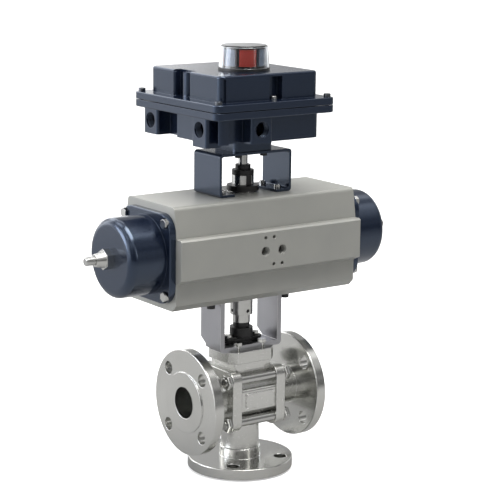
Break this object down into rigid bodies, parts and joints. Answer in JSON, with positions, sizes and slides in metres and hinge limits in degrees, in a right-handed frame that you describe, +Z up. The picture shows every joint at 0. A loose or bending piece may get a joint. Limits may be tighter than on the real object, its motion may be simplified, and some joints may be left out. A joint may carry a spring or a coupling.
{
  "type": "pneumatic actuated valve",
  "caption": "Flanged multi-port ball valve turned by a spring-return rack and pinion air actuator, with a bracket-mounted switch box and dome position indicator on top.",
  "frame": {"origin": "centre of the bottom port's raised face", "axes": "+Z up along the stem, +X along the run and the actuator, -Y towards the air ports"},
  "size_m": [0.4314, 0.174, 0.51],
  "materials": {
    "cast_steel": "cast, bead blasted",
    "bright_steel": "bright",
    "seat_plastic": "satin",
    "seal_rubber": "matt",
    "black_steel": "blackened",
    "grey_aluminium": "satin anodised",
    "plain_aluminium": "as cast",
    "black_painted_metal": "gloss black coating",
    "spring_steel": "coated",
    "gear_steel": "nickel plated",
    "black_plastic": "satin",
    "clear_plastic": "clear",
    "red_plastic": "gloss",
    "pale_plastic": "gloss",
    "sensor_plastic": "gloss",
    "plate_steel": "zinc plated"
  },
  "bodies": {
    "frame": {"actuator_body": "grey_aluminium", "actuator_bolts": "black_steel", "body_gaskets": "seal_rubber", "bottom_seat": "seat_plastic", "box_base": "black_painted_metal", "box_fixing_screws": "black_steel", "box_lid": "black_painted_metal", "bracket_screws": "bright_steel", "dome_base": "black_plastic", "earth_screw": "bright_steel", "gland_bolts": "bright_steel", "gland_plate": "black_steel", "housing_gaskets": "seal_rubber", "housing_screws": "bright_steel", "indicator_dome": "clear_plastic", "left_end_cap": "cast_steel", "left_return_spring": "spring_steel", "left_spring_housing": "black_painted_metal", "lid_screws": "bright_steel", "lid_seal": "seal_rubber", "pad_bolts": "bright_steel", "pinion_bushes": "seat_plastic", "pinion_seals": "seal_rubber", "proximity_sensors": "sensor_plastic", "right_end_cap": "cast_steel", "right_return_spring": "spring_steel", "right_spring_housing": "black_painted_metal", "sensor_plate": "plate_steel", "shaft_bush": "seat_plastic", "side_seats": "seat_plastic", "stem_packing": "seat_plastic", "stop_lock_nuts": "bright_steel", "stop_screws": "bright_steel", "switch_bracket": "black_painted_metal", "terminal_block": "pale_plastic", "tie_nuts": "bright_steel", "tie_studs": "bright_steel", "valve_body": "cast_steel", "valve_bracket": "bright_steel"},
    "drive": {"ball": "bright_steel", "valve_stem": "bright_steel", "drive_coupling": "black_steel", "coupling_adaptor": "bright_steel", "coupling_screws": "black_steel", "pinion": "gear_steel", "pinion_circlip": "bright_steel", "pinion_washer": "bright_steel", "position_disc": "black_plastic", "shaft_coupler": "black_steel", "switch_shaft": "bright_steel", "switch_cams": "black_plastic", "indicator_rotor": "black_plastic", "red_panels": "red_plastic", "pale_panels": "pale_plastic"},
    "left_piston": {"left_piston": "plain_aluminium", "left_piston_seal": "seal_rubber", "left_guide_pad": "seat_plastic"},
    "right_piston": {"right_piston": "plain_aluminium", "right_piston_seal": "seal_rubber", "right_guide_pad": "seat_plastic"}
  },
  "joints": [
    {"name": "drive_turn", "type": "hinge", "parent": "frame", "child": "drive", "pos_m": [0, 0, 0.092], "axis": [0, 0, 1], "range_deg": [0, 90], "stiffness_Nm_per_rad": 0.3, "springref_deg": -28.65},
    {"name": "left_piston_slide", "type": "slide", "parent": "frame", "child": "left_piston", "axis": [-1, 0, 0], "range_m": [0, 0.0315], "deforming": ["left_return_spring"]},
    {"name": "right_piston_slide", "type": "slide", "parent": "frame", "child": "right_piston", "axis": [1, 0, 0], "range_m": [0, 0.0315], "deforming": ["right_return_spring"]}
  ],
  "couplings": [
    {"joint": "left_piston_slide", "follows": "drive_turn", "m_per_rad": 0.02},
    {"joint": "right_piston_slide", "follows": "drive_turn", "m_per_rad": 0.02}
  ]
}
